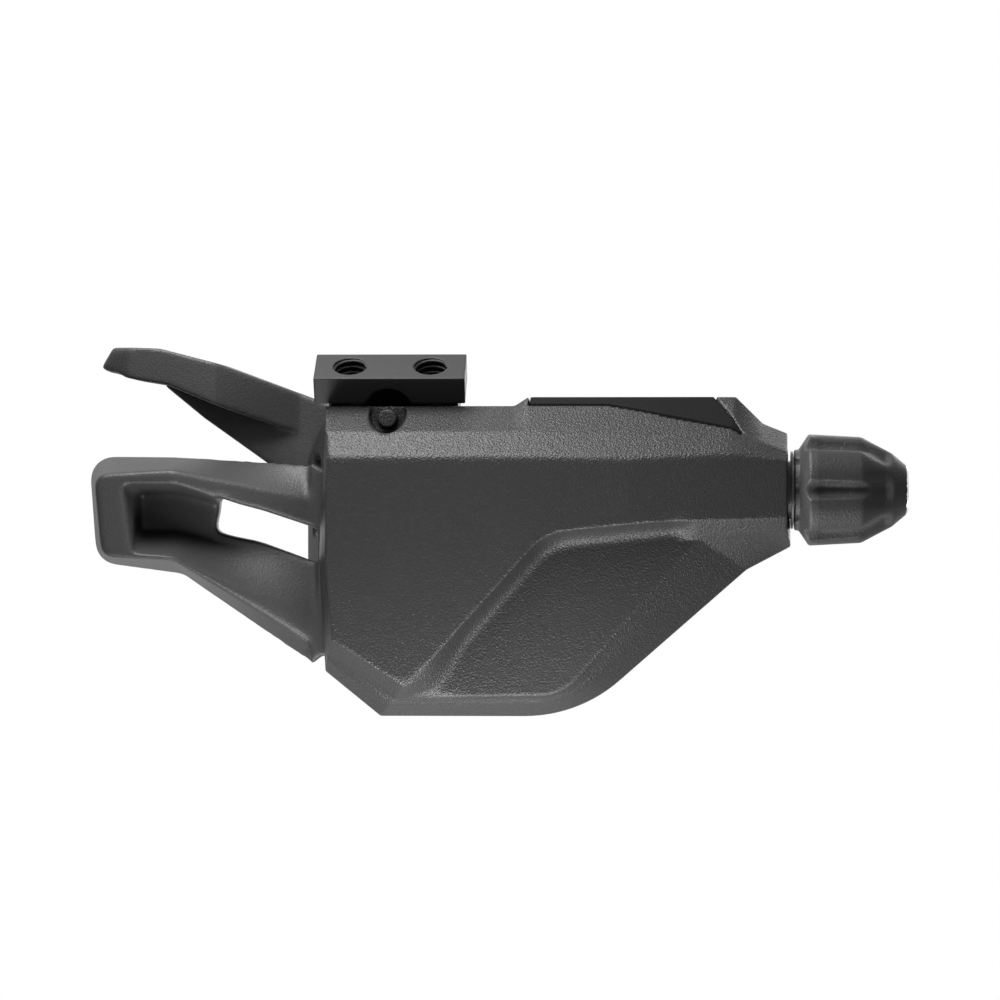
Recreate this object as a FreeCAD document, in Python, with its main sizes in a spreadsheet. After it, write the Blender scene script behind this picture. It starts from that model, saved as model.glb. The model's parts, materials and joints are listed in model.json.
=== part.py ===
import FreeCAD, Part
import math
import os
import re

import Sketcher
from FreeCAD import Placement, Rotation, Vector

# Trigger gear shifter for a right-hand flat handlebar, in millimetres.
# X runs along the handlebar towards the stem, Z runs up to the handlebar, and -Y is the cover's side.
# The origin is the centre of the bracket's clamping face, midway between its two threaded holes.
# The pull lever, the ratchet and the cable spool turn on one axle that runs along Y.
# Thumb levers point outboard (-X), and the barrel adjuster points inboard (+X).

SIZES = {
    # where the working axes lie, measured from the bracket face
    "axle_across": 10.0,
    "axle_drop": 26.0,
    "release_out": 12.5,
    "release_up": 14.9,
    "hold_pin_up": 17.4,
    # cable spool and ratchet
    "groove_radius": 10.5,
    "groove_width": 2.2,
    "spool_radius": 12.2,
    "spool_length": 5.0,
    "spool_hub_radius": 4.6,
    "spool_front_rim": 1.4,
    "spring_room_radius": 7.6,
    "spring_room_depth": 2.6,
    "hub_recess": 1.4,
    "cable_depth": -0.5,
    "cable_head_radius": 2.2,
    "ratchet_radius": 11.5,
    "ratchet_thickness": 1.3,
    "tooth_count": 18,
    "tooth_height": 1.4,
    "tooth_tip": 3.5,
    "tooth_lead": 2.0,
    "tooth_over": 0.3,
    # axle and the parts threaded on it
    "axle_radius": 3.0,
    "axle_head_radius": 4.6,
    "axle_head_height": 1.1,
    "running_gap": 0.05,
    "side_gap": 0.2,
    "press_gap": 0.01,
    "overrun": 1.0,
    "bush_wall": 0.9,
    "clip_radius": 4.0,
    "clip_thickness": 0.6,
    "washer_thickness": 0.5,
    "washer_radius": 4.2,
    # housing shells
    "cavity_radius": 16.4,
    "front_cavity_radius": 12.9,
    "bottom_wall": 1.35,
    "side_wall": 2.5,
    "cover_front": 8.0,
    "panel_depth": 2.8,
    "rim_depth": 0.5,
    "parting": 3.2,
    "lever_slot": 3.4,
    "base_back": 13.5,
    "housing_drop": 5.0,
    "hump_drop": 3.9,
    "body_reach": 40.0,
    "end_half_height": 7.05,
    "shoulder_fall": 6.5,
    "corner_round": 18.0,
    "ridge_round": 7.0,
    "hump_start": 5.6,
    "hump_run": 1.7,
    "strip_reach": 6.8,
    "tail_reach": 5.5,
    "tail_rise": 2.9,
    "chin_height": 5.6,
    "chin_fall": 2.85,
    "side_fall": 0.7,
    "panel_end": 11.4,
    "strip_rise": 1.2,
    "strip_inset": 1.3,
    "end_rake": 0.4,
    "end_inset": 0.6,
    "chin_inboard": 13.6,
    "chin_outboard": 11.2,
    "left_peak": 2.0,
    "panel_end_top": 2.3,
    "panel_end_low": 2.1,
    "panel_tail_rise": 1.0,
    "panel_inboard": 11.6,
    "panel_outboard": 8.9,
    "chin_step": 0.3,
    "wall_knee_across": 10.5,
    "wall_knee_drop": 8.0,
    "wall_toe_across": 3.9,
    "wall_toe_rise": 0.7,
    "face_fall": 0.4,
    "face_end_top": 2.7,
    "face_end_low": 2.4,
    "ridge_fall": 0.8,
    "ridge_knee_across": 9.6,
    "ridge_knee_drop": 5.2,
    "ridge_toe_across": 7.1,
    "ridge_toe_rise": 4.5,
    "chin_ridge": 4.2,
    "end_depth": 6.8,
    "left_lean": 0.8,
    "room_half": 3.3,
    "well_depth": 2.2,
    "taper_start": 15.0,
    "slot_span": 24.0,
    "slot_top": 16.4,
    "slot_end": 4.2,
    "slot_room": 1.2,
    "slot_near": 2.0,
    "dish_radius": 2.3,
    "dish_across": 0.2,
    "dish_drop": 1.2,
    "dish_boss_height": 2.2,
    "boss_drop": 0.4,
    "cheek_reach": 2.7,
    "cheek_step": 0.3,
    "cheek_low": 4.0,
    "port_height": 10.3,
    "port_top": 4.35,
    "port_width": 3.6,
    "port_edge": 0.6,
    "port_depth": 2.0,
    # bracket
    "block_width": 18.9,
    "block_depth": 6.3,
    "block_thickness": 3.65,
    "face_tilt": 31.0,
    "hole_spacing": 10.1,
    "hole_radius": 2.1,
    "arch_radius": 3.2,
    "arch_drop": 1.1,
    "foot_width": 16.4,
    "foot_thickness": 2.6,
    "foot_back": 12.9,
    "hole_skin": 0.35,
    "neck_thickness": 2.0,
    "screw_edge": 0.9,
    "bracket_screw_radius": 1.25,
    "screw_head_radius": 1.8,
    "screw_head_height": 1.2,
    "socket_key": 1.0,
    "bracket_screw_grip": 2.4,
    # pull lever
    "plate_thickness": 2.6,
    "lever_gap": 0.2,
    "hub_radius": 7.0,
    "hub_flat": 0.3,
    "lever_reach": 39.3,
    "window_reach": 21.6,
    "pad_round": 3.0,
    "pad_front": 2.2,
    "pad_back": 9.4,
    "pad_length": 12.2,
    "pad_top": 4.5,
    "pad_low": 9.25,
    "pad_lean": 1.0,
    "neck_top": 4.3,
    "neck_low": 10.8,
    "rim_inset": 2.3,
    "rim_top": 1.9,
    "rim_low": 8.35,
    "rim_end_top": 2.5,
    "rim_end_low": 8.7,
    "rim_width": 5.9,
    "rim_lean": 1.3,
    "root_top": 14.0,
    "root_ridge_top": 9.25,
    "root_ridge_low": 8.4,
    "root_low": 11.65,
    "root_clear": 1.5,
    "pocket_depth": 7.2,
    "pocket_top": 0.75,
    "pocket_low": 8.4,
    "pocket_lean": 0.4,
    "floor_top": 0.35,
    "floor_low": 5.2,
    "trough_low": 7.2,
    "window_root_top": 5.6,
    "window_root_low": 1.4,
    "window_lean": 1.0,
    "plate_top": 13.2,
    "plate_run": 2.0,
    "plate_heel": 7.9,
    "plate_low": 10.4,
    # release lever
    "release_plate": 2.4,
    "release_gap": 0.2,
    "release_hub_radius": 4.6,
    "release_shaft_radius": 2.2,
    "release_key": 3.2,
    "release_pad_front": 7.6,
    "release_pad_back": 19.0,
    "release_wall": 1.5,
    "release_reach": 38.0,
    "release_bevel": 1.8,
    "release_tip_rise": 11.2,
    "release_rise": 13.9,
    "release_bend": 2.3,
    "release_pad_run": 16.0,
    "release_root_out": 6.6,
    "release_root_rise": 6.8,
    "release_web": 3.0,
    "under_root": 2.6,
    "under_bend": 5.9,
    "under_middle": 9.0,
    "under_tip": 9.9,
    "under_step": 0.5,
    "arm_bend": 4.9,
    "arm_low": 0.3,
    "release_sweep": 1.0,
    "facet_run": 3.9,
    "facet_depth": 3.0,
    "cam_length": 6.0,
    "cam_drop": 1.3,
    "cam_tip": 0.6,
    "cam_wall": 0.7,
    # pawls
    "pawl_thickness": 1.1,
    "pawl_pin_radius": 0.9,
    "pawl_gap": 0.06,
    "pawl_boss_radius": 1.9,
    "pawl_arm_half": 1.45,
    "pawl_sweep": 25.0,
    "nose_height": 1.2,
    "lug_reach": 7.2,
    "lug_drop": 3.15,
    "nose_clearance": 0.35,
    "pull_pin_orbit": 14.2,
    "pull_pin_angle": 175.0,
    "hold_nose_angle": 118.0,
    # barrel adjuster
    "knob_radius": 6.95,
    "knob_length": 14.0,
    "knob_gap": 0.4,
    "knob_neck": 5.1,
    "stem_radius": 2.9,
    "stem_insertion": 8.5,
    "knob_nose": 4.6,
    "collar_length": 0.6,
    "nose_run": 1.9,
    "nose_rim": 0.05,
    "grip_fall": 0.35,
    "ring_stand": 0.1,
    "flute_rise": 0.6,
    "notch_radius": 0.55,
    "notch_count": 8,
    "socket_radius": 2.1,
    "socket_depth": 8.0,
    "cable_bore": 0.9,
    "insert_wall": 0.7,
    "insert_length": 6.0,
    "flute_count": 6,
    "flute_radius": 1.5,
    "detent_thickness": 0.25,
    # cable port cover
    "hatch_gap": 0.25,
    "hatch_lip": 1.1,
    "hatch_bend": 12.0,
    "hatch_back": 9.6,
    "hatch_seat": 2.2,
    "hatch_rake": 3.5,
    "hatch_nose": 0.6,
    # screws that hold the two shells together
    "cover_screw_radius": 1.0,
    "cover_screw_grip": 4.0,
    "screw_shelf": 2.4,
    "upper_screw_reach": 7.5,
    "lower_screw_across": 14.5,
    "lower_screw_rise": 5.6,
    "inboard_screw_across": 19.5,
    "inboard_screw_drop": 11.0,
    # springs
    "spring_wire": 0.8,
    "fine_wire": 0.5,
}

doc = FreeCAD.newDocument("trigger_shifter")
sheet = doc.addObject("Spreadsheet::Sheet", "sizes")
for row, (alias, number) in enumerate(SIZES.items(), start=1):
    sheet.set("A%d" % row, alias)
    sheet.set("B%d" % row, repr(number))
    sheet.setAlias("B%d" % row, alias)
doc.recompute()

NODES = []


def bound(expression):
    """The expression with each size's name pointing at its cell."""
    return re.sub(r"[a-z_]+", lambda m: "sizes." + m[0] if m[0] in SIZES else m[0], expression)


def value(expression):
    """The number that an expression of sizes gives now."""
    return float(sheet.evalExpression(bound(expression)))


def node(thing, label):
    """Names a finished sub-part, so that its file gets that name."""
    thing.Label = label
    NODES.append(thing)
    return thing


def new_body(name):
    return doc.addObject("PartDesign::Body", name)


def origin_plane(body, role):
    return next(f for f in body.Origin.OriginFeatures if f.Role == role)


def place_sketch(body, name, role, offset, tilt=None):
    """An empty sketch on one of the body's planes, moved along that plane's normal or tilted about X."""
    sketch = body.newObject("Sketcher::SketchObject", name)
    sketch.AttachmentSupport = [(origin_plane(body, role), "")]
    sketch.MapMode = "FlatFace"
    if tilt is None:
        sketch.setExpression(".AttachmentOffset.Base.z", bound(offset))
    else:
        sketch.AttachmentOffset = Placement(Vector(), Rotation(Vector(1, 0, 0), value(tilt)))
        sketch.setExpression(".AttachmentOffset.Rotation.Angle", bound(tilt))
    return sketch


def pin_point(sketch, geo, pos, across, up):
    """Ties a point of the sketch to two expressions."""
    for kind, expression in (("DistanceX", across), ("DistanceY", up)):
        index = sketch.addConstraint(Sketcher.Constraint(kind, -1, 1, geo, pos, value(expression)))
        sketch.setExpression("Constraints[%d]" % index, bound(expression))


def trim_corner(before, corner, after, radius):
    """Where a rounding of that radius leaves both sides of a corner, and its middle point."""
    one, two = (before - corner).normalize(), (after - corner).normalize()
    half = one.getAngle(two) / 2
    run = radius / math.tan(half)
    middle = (one + two).normalize() * (radius / math.sin(half) - radius)
    return corner + one * run, corner + middle, corner + two * run


def draw_outline(sketch, corners):
    """A closed outline. Each corner is (across, up) or (across, up, rounding), as expressions."""
    count = len(corners)
    points = [Vector(value(c[0]), value(c[1]), 0) for c in corners]
    joints = []
    for i, corner in enumerate(corners):
        if len(corner) == 3:
            joints.append(trim_corner(points[i - 1], points[i], points[(i + 1) % count], value(corner[2])))
        else:
            joints.append((points[i], None, points[i]))
    sides = [sketch.addGeometry(Part.LineSegment(joints[i][2], joints[(i + 1) % count][0]))
             for i in range(count)]
    for i, corner in enumerate(corners):
        before, after = sides[i - 1], sides[i]
        if len(corner) == 2:
            sketch.addConstraint(Sketcher.Constraint("Coincident", before, 2, after, 1))
            pin_point(sketch, after, 1, corner[0], corner[1])
            continue
        arc = sketch.addGeometry(Part.Arc(*joints[i]))
        start, end = (1, 2) if _starts_at(sketch, arc, joints[i][0]) else (2, 1)
        sketch.addConstraint(Sketcher.Constraint("Tangent", before, 2, arc, start))
        sketch.addConstraint(Sketcher.Constraint("Tangent", arc, end, after, 1))
        index = sketch.addConstraint(Sketcher.Constraint("Radius", arc, value(corner[2])))
        sketch.setExpression("Constraints[%d]" % index, bound(corner[2]))
        mark = sketch.addGeometry(Part.Point(points[i]), True)
        pin_point(sketch, mark, 1, corner[0], corner[1])
        sketch.addConstraint(Sketcher.Constraint("PointOnObject", mark, 1, before))
        sketch.addConstraint(Sketcher.Constraint("PointOnObject", mark, 1, after))


def _starts_at(sketch, arc, point):
    return (sketch.getPoint(arc, 1) - point).Length < 1e-6


def draw_circle(sketch, across, up, radius):
    """A circle tied to three expressions."""
    centre = Vector(value(across), value(up), 0)
    geo = sketch.addGeometry(Part.Circle(centre, Vector(0, 0, 1), value(radius)))
    pin_point(sketch, geo, 3, across, up)
    index = sketch.addConstraint(Sketcher.Constraint("Radius", geo, value(radius)))
    sketch.setExpression("Constraints[%d]" % index, bound(radius))


# Roles of the planes, and how an offset along +Y, +Z or +X reads along each plane's own normal
FRONT, LEVEL, SIDE = "XZ_Plane", "XY_Plane", "YZ_Plane"


def shape_sketch(body, name, role, at, outlines, tilt=None):
    """A sketch at that depth, holding outlines and circles. A circle is (across, up, radius)."""
    sketch = place_sketch(body, name, role, "-(%s)" % at if role == FRONT else at, tilt)
    for outline in outlines:
        if isinstance(outline, tuple):
            draw_circle(sketch, *outline)
        else:
            draw_outline(sketch, outline)
    return sketch


def pad(body, name, role, low, high, outlines):
    """Adds material between two depths along the plane's axis."""
    sketch = shape_sketch(body, name + "_sketch", role, high if role == FRONT else low, outlines)
    feature = body.newObject("PartDesign::Pad", name)
    feature.Profile = sketch
    feature.setExpression("Length", bound("(%s) - (%s)" % (high, low)))
    doc.recompute()
    return feature


def cut(body, name, role, low, high, outlines):
    """Removes material between two depths along the plane's axis."""
    sketch = shape_sketch(body, name + "_sketch", role, low if role == FRONT else high, outlines)
    feature = body.newObject("PartDesign::Pocket", name)
    feature.Profile = sketch
    feature.setExpression("Length", bound("(%s) - (%s)" % (high, low)))
    doc.recompute()
    return feature


# Places that several pieces share, as expressions of the sizes
AXLE_X, AXLE_Z = "axle_across", "-axle_drop"
CABLE_Z = "(groove_radius - axle_drop)"
RELEASE_X, RELEASE_Z = "(axle_across - release_out)", "(release_up - axle_drop)"
HOLD_X, HOLD_Z = "axle_across", "(hold_pin_up - axle_drop)"
LEFT_X = "(axle_across - cavity_radius - side_wall)"
RIGHT_X = "(axle_across + body_reach)"
BOTTOM_Z = "(-axle_drop - cavity_radius - bottom_wall)"
TOP_Z = "(-housing_drop)"
HUMP_X = "(axle_across + hump_start)"
HUMP_Z = "(-hump_drop)"
END_TOP = "(%s + end_half_height)" % CABLE_Z
END_LOW = "(%s - end_half_height)" % CABLE_Z
COVER_Y = "(-cover_front)"
PANEL_Y = "(panel_depth - cover_front)"
SPOOL_FRONT = "(cable_depth - groove_width / 2 - spool_front_rim)"
SPOOL_BACK = "(%s + spool_length)" % SPOOL_FRONT
RATCHET_BACK = "(%s + ratchet_thickness)" % SPOOL_BACK
SLOT_BACK = "(parting + lever_slot)"
SCREW_SEAT = "(parting + screw_shelf)"
DISH_X, DISH_Z = "(-dish_across)", "(-housing_drop - dish_drop)"
HATCH_Z = "(-hump_drop - hatch_seat)"
HATCH_END_X = "(axle_across + body_reach - strip_reach - hatch_rake * 0.7)"
FOOT_Y = "(foot_back - screw_head_radius - screw_edge)"
WELL_BACK = "(parting + lever_slot + well_depth)"
HOLD_PIN_BACK = "(parting + lever_slot + axle_radius)"
BUSH_RADIUS = "(axle_radius + running_gap + bush_wall)"
AXLE_FRONT = "(%s - side_gap / 2)" % SPOOL_FRONT
RELEASE_BACK = "(base_back + release_gap + release_plate)"
LEVER_TIP = "(-lever_reach)"
RELEASE_TIP = "(-release_reach)"
RELEASE_ROOT_X = "(axle_across - release_out - release_root_out)"
WINDOW_X = "(-window_reach)"
WINDOW_END_X = "(axle_across - cavity_radius - side_wall - hub_flat * 2)"
PAD_END_X = "(pad_length - lever_reach)"
KNOB_START = "(%s + knob_gap)" % RIGHT_X
KNOB_END = "(%s + knob_length)" % KNOB_START
STEM_END = "(%s + ring_stand)" % KNOB_END
PAWL_FRONT = "(%s + (ratchet_thickness - pawl_thickness) / 2)" % SPOOL_BACK
PAWL_BACK = "(%s + pawl_thickness)" % PAWL_FRONT
PULL_PIN_X = "(axle_across + pull_pin_orbit * cos(pull_pin_angle))"
PULL_PIN_Z = "(pull_pin_orbit * sin(pull_pin_angle) - axle_drop)"
PLATE_FRONT = "(parting + lever_gap * 2)"
PLATE_BACK = "(%s + plate_thickness)" % PLATE_FRONT


def main():
    build_front_cover()
    build_rear_housing()
    build_bracket()
    build_spool()
    build_axle()
    build_pull_lever()
    build_pull_pawl()
    build_release_lever()
    build_hold_pawl()
    build_adjuster()
    build_hatch()
    build_springs()
    doc.recompute()
    export()


def parting_outline():
    """The outline of both shells at the parting line, clockwise from the top left."""
    return [
        (LEFT_X + " + left_lean", TOP_Z),
        (HUMP_X, TOP_Z),
        (HUMP_X + " + hump_run", HUMP_Z),
        (RIGHT_X + " - strip_reach", HUMP_Z),
        (RIGHT_X + " - strip_reach / 2", END_TOP + " + strip_rise"),
        (RIGHT_X + " - end_rake", END_TOP),
        (RIGHT_X, END_LOW),
        (RIGHT_X + " - tail_reach", END_LOW + " - tail_rise"),
        (AXLE_X + " + chin_inboard", BOTTOM_Z, "corner_round"),
        (AXLE_X + " - chin_outboard", BOTTOM_Z),
        (LEFT_X + " + left_lean", BOTTOM_Z + " + chin_height"),
        (LEFT_X, AXLE_Z + " + left_peak"),
    ]


def panel_outline():
    """The cover's outline at the depth of its lower panel, corner for corner with the parting line."""
    return [
        (LEFT_X + " + left_lean + side_fall / 2", TOP_Z + " - shoulder_fall / 2"),
        (HUMP_X, TOP_Z + " - shoulder_fall / 2"),
        (HUMP_X + " + hump_run", TOP_Z + " - shoulder_fall / 2"),
        (RIGHT_X + " - strip_reach - end_inset", TOP_Z + " - shoulder_fall / 2 - end_inset"),
        (RIGHT_X + " - strip_reach / 2", END_TOP + " - strip_inset"),
        (RIGHT_X + " - end_inset", END_TOP + " - panel_end_top"),
        (RIGHT_X + " - end_inset", END_LOW + " + panel_end_low"),
        (RIGHT_X + " - panel_end", END_LOW + " + panel_tail_rise"),
        (AXLE_X + " + panel_inboard", BOTTOM_Z + " + chin_fall", "corner_round / 3"),
        (AXLE_X + " - panel_outboard", BOTTOM_Z + " + chin_fall - chin_step"),
        (LEFT_X + " + left_lean + side_fall", BOTTOM_Z + " + chin_height + chin_fall - chin_step"),
        (LEFT_X + " + side_fall", AXLE_Z + " + left_peak"),
    ]


def wall_foot_outline():
    """Where the raised front stands on the panel's plane."""
    edge = panel_outline()
    return [edge[0]] + edge[2:8] + [
        (AXLE_X + " + wall_knee_across", CABLE_Z + " - wall_knee_drop", "ridge_round"),
        (AXLE_X + " - wall_toe_across", BOTTOM_Z + " + chin_fall + wall_toe_rise"),
    ] + edge[9:]


def front_outline():
    """The raised front face, corner for corner with its foot."""
    return [
        (LEFT_X + " + left_lean + side_fall", TOP_Z + " - shoulder_fall"),
        (HUMP_X + " + hump_run", TOP_Z + " - shoulder_fall"),
        (RIGHT_X + " - strip_reach - end_inset", TOP_Z + " - shoulder_fall - face_fall"),
        (RIGHT_X + " - strip_reach / 2", CABLE_Z + " + face_end_top + face_fall"),
        (RIGHT_X + " - end_inset", CABLE_Z + " + face_end_top"),
        (RIGHT_X + " - end_inset", CABLE_Z + " - face_end_low"),
        (RIGHT_X + " - panel_end", CABLE_Z + " - face_end_low - ridge_fall"),
        (AXLE_X + " + ridge_knee_across", CABLE_Z + " - ridge_knee_drop", "ridge_round"),
        (AXLE_X + " - ridge_toe_across", BOTTOM_Z + " + ridge_toe_rise"),
        (AXLE_X + " - ridge_toe_across - face_fall", BOTTOM_Z + " + ridge_toe_rise - end_inset"),
        (LEFT_X + " + left_lean + side_fall * 2", BOTTOM_Z + " + chin_height + chin_ridge"),
        (LEFT_X + " + side_fall * 2", AXLE_Z + " + left_peak"),
    ]


def ruled_loft(body, name, kind, near_end, far_end, role=FRONT):
    """Joins two outlines, each given as (place along the plane's axis, corners), with straight sides."""
    ends = [shape_sketch(body, name + str(i), role, at, [corners])
            for i, (at, corners) in enumerate((near_end, far_end))]
    loft = body.newObject("PartDesign::%sLoft" % kind, name)
    loft.Profile = ends[0]
    loft.Sections = [ends[1]]
    loft.Ruled = True
    doc.recompute()
    return loft


def hollow(body, front, works_back, rooms_back):
    """Cuts the rooms that the ratchet, the pawls and the release cam work in."""
    cut(body, "works", FRONT, front, works_back, [(AXLE_X, AXLE_Z, "cavity_radius")])
    cut(body, "hold_room", FRONT, front, rooms_back, [(HOLD_X, HOLD_Z, "pawl_boss_radius + side_gap * 2")])
    cut(body, "release_room", FRONT, front, rooms_back, [[
        (RELEASE_X + " - room_half", RELEASE_Z + " - room_half", "room_half / 2"),
        (RELEASE_X + " - room_half", RELEASE_Z + " + room_half", "room_half / 2"),
        (HOLD_X + " + pawl_pin_radius", RELEASE_Z + " + room_half"),
        (HOLD_X + " + pawl_pin_radius", RELEASE_Z + " - room_half"),
    ]])


def build_front_cover():
    body = new_body("cover_body")
    pad(body, "cover_rim", FRONT, "-rim_depth", "parting", [parting_outline()])
    ruled_loft(body, "cover_bevel", "Additive", ("-rim_depth", parting_outline()), (PANEL_Y, panel_outline()))
    ruled_loft(body, "cover_face", "Additive", (PANEL_Y, wall_foot_outline()), (COVER_Y, front_outline()))
    cut(body, "end_relief", LEVEL, BOTTOM_Z, "0", [[
        (AXLE_X + " + body_reach / 2", COVER_Y),
        (RIGHT_X + " + overrun", "-end_depth"),
        (RIGHT_X + " + overrun", COVER_Y + " - overrun"),
        (AXLE_X + " + body_reach / 2", COVER_Y + " - overrun"),
    ]])
    cut(body, "spool_room", FRONT, SPOOL_FRONT + " - side_gap * 2", "parting", [
        (AXLE_X, AXLE_Z, "front_cavity_radius")])
    hollow(body, SPOOL_BACK + " - side_gap * 1.5", "parting", "parting")
    cut(body, "insert_bore", SIDE, RIGHT_X + " - insert_length - knob_gap", RIGHT_X, [
        ("cable_depth", CABLE_Z, "stem_radius + running_gap + insert_wall + press_gap")])
    cut(body, "stem_bore", SIDE, RIGHT_X + " - stem_insertion - overrun", RIGHT_X, [
        ("cable_depth", CABLE_Z, "stem_radius + running_gap")])
    cut(body, "cable_way", SIDE, AXLE_X, RIGHT_X + " - stem_insertion", [
        ("cable_depth", CABLE_Z, "cable_head_radius - side_gap")])
    cut(body, "dish", FRONT, COVER_Y, "-rim_depth", [(DISH_X, DISH_Z, "dish_radius")])
    pad(body, "dish_boss", FRONT, "-rim_depth - dish_boss_height", "-rim_depth", [
        (DISH_X, DISH_Z + " - boss_drop", "dish_radius / 2")])
    for name, across, up in cover_screw_places():
        cut(body, name + "_hole", FRONT, "parting - cover_screw_grip", "parting", [
            (across, up, "cover_screw_radius - press_gap")])
    return node(trimmed("Cut", "cover_with_seat", body, hatch_room("cover_hatch_room", "0")), "front_cover")


def cover_screw_places():
    """The corners where screws from behind draw the cover on to the base."""
    return [
        ("upper", RIGHT_X + " - upper_screw_reach", END_TOP + " - screw_head_radius - screw_edge"),
        ("lower", AXLE_X + " + lower_screw_across", BOTTOM_Z + " + lower_screw_rise"),
        ("inboard", AXLE_X + " + inboard_screw_across", CABLE_Z + " - inboard_screw_drop"),
    ]


def hatch_room(name, gap):
    """The room of the cable port's cover, open upwards, and drawn in by a gap all round."""
    body = new_body(name)
    pad(body, name + "_plan", LEVEL, TOP_Z + " - shoulder_fall", "0", [[
        (HUMP_X + " + hump_run + (%s)" % gap, "hatch_back - (%s)" % gap),
        (HUMP_X + " + hump_run + (%s)" % gap, "-rim_depth - hatch_lip + (%s)" % gap),
        (HUMP_X + " + hatch_bend", "-rim_depth - hatch_lip + (%s)" % gap),
        (HATCH_END_X + " + hatch_rake - (%s) * 1.5" % gap, PANEL_Y + " + hatch_nose + (%s) * 1.2" % gap),
        (HATCH_END_X + " - (%s)" % gap, "-rim_depth"),
        (HATCH_END_X + " - (%s)" % gap, "hatch_back - (%s)" % gap),
    ]])
    cut(body, name + "_floor", SIDE, LEFT_X, RIGHT_X, [[
        ("hatch_back", HATCH_Z),
        ("-rim_depth - hatch_nose", HATCH_Z),
        (PANEL_Y, HATCH_Z + " - shoulder_fall * 0.65"),
        (PANEL_Y, BOTTOM_Z),
        ("hatch_back", BOTTOM_Z),
    ]])
    return body


def trimmed(kind, name, base, tool):
    """One shape less another, or what two shapes share."""
    result = doc.addObject("Part::" + kind, name)
    if kind == "Cut":
        result.Base, result.Tool = base, tool
    else:
        result.Shapes = [base, tool]
    doc.recompute()
    return result


def build_rear_housing():
    body = new_body("base_body")
    pad(body, "base_wall", FRONT, "parting", "base_back", [parting_outline()])
    cut(body, "back_taper", LEVEL, BOTTOM_Z, "0", [[
        (AXLE_X + " + taper_start", "base_back"),
        (RIGHT_X + " + 0.1", SLOT_BACK),
        (RIGHT_X + " + overrun", "base_back + overrun"),
        (AXLE_X + " + taper_start", "base_back + overrun"),
    ]])
    pad(body, "cheek", FRONT, SLOT_BACK, "base_back", [[
        (LEFT_X + " + left_lean + overrun", TOP_Z),
        (LEFT_X + " + left_lean", TOP_Z),
        (LEFT_X + " - cheek_reach", TOP_Z + " - shoulder_fall"),
        (LEFT_X + " - cheek_reach", AXLE_Z + " - cheek_low"),
        (LEFT_X + " + left_lean", BOTTOM_Z + " + chin_height"),
        (LEFT_X + " + left_lean + overrun", BOTTOM_Z + " + chin_height"),
    ]])
    cut(body, "cheek_flare", LEVEL, BOTTOM_Z, "0", [[
        (LEFT_X + " - cheek_step", SLOT_BACK),
        (LEFT_X + " - cheek_reach", "base_back"),
        (LEFT_X + " - cheek_reach - overrun", "base_back"),
        (LEFT_X + " - cheek_reach - overrun", SLOT_BACK),
    ]])
    hollow(body, "parting", SLOT_BACK, PAWL_BACK + " + side_gap * 1.5")
    cut(body, "lever_slot_cut", FRONT, "parting", SLOT_BACK, [[
        (AXLE_X + " - slot_near", AXLE_Z + " + hub_radius + slot_room"),
        (AXLE_X + " - slot_span", AXLE_Z + " + slot_top"),
        (AXLE_X + " - slot_span", BOTTOM_Z + " - overrun"),
        (AXLE_X + " - slot_end", BOTTOM_Z + " - overrun"),
        (AXLE_X + " - slot_near / 4", AXLE_Z + " - cavity_radius + slot_near"),
    ]])
    cut(body, "port", SIDE, LEFT_X + " - cheek_reach - overrun", LEFT_X + " + port_depth", [[
        (SLOT_BACK + " + port_edge", CABLE_Z + " + port_top", "port_width / 4"),
        (SLOT_BACK + " + port_edge + port_width", CABLE_Z + " + port_top", "port_width / 4"),
        (SLOT_BACK + " + port_edge + port_width", CABLE_Z + " + port_top - port_height", "port_width / 4"),
        (SLOT_BACK + " + port_edge", CABLE_Z + " + port_top - port_height", "port_width / 4"),
    ]])
    cut(body, "lever_spring_well", FRONT, SLOT_BACK, WELL_BACK, [(AXLE_X, AXLE_Z, "hub_radius")])
    cut(body, "release_spring_well", FRONT, "parting", WELL_BACK, [(RELEASE_X, RELEASE_Z, "room_half")])
    cut(body, "axle_hole", FRONT, SLOT_BACK, "base_back + overrun", [
        (AXLE_X, AXLE_Z, "axle_radius + press_gap")])
    cut(body, "release_hole", FRONT, "parting", "base_back + overrun", [
        (RELEASE_X, RELEASE_Z, "release_shaft_radius + running_gap")])
    cut(body, "hold_pin_hole", FRONT, "parting", HOLD_PIN_BACK, [
        (HOLD_X, HOLD_Z, "pawl_pin_radius + press_gap")])
    for name, across, up in cover_screw_places():
        cut(body, name + "_hole", FRONT, "parting - overrun", "base_back + overrun", [
            (across, up, "cover_screw_radius + side_gap")])
        cut(body, name + "_seat", FRONT, SCREW_SEAT, "base_back + overrun", [
            (across, up, "screw_head_radius + side_gap")])
    for name, across in bracket_screw_places():
        cut(body, name + "_hole", LEVEL, TOP_Z + " - bracket_screw_grip", TOP_Z, [
            (across, FOOT_Y, "bracket_screw_radius - press_gap")])
    return node(trimmed("Cut", "base_with_seat", body, hatch_room("base_hatch_room", "0")), "rear_housing")


def bracket_screw_places():
    """Where the two screws of the bracket's foot stand along X, either side of the release shaft."""
    return [("outboard", "-foot_width / 2 + screw_head_radius + screw_edge / 5"),
            ("inboard", "foot_width / 2 - screw_head_radius - screw_edge / 5")]


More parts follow.
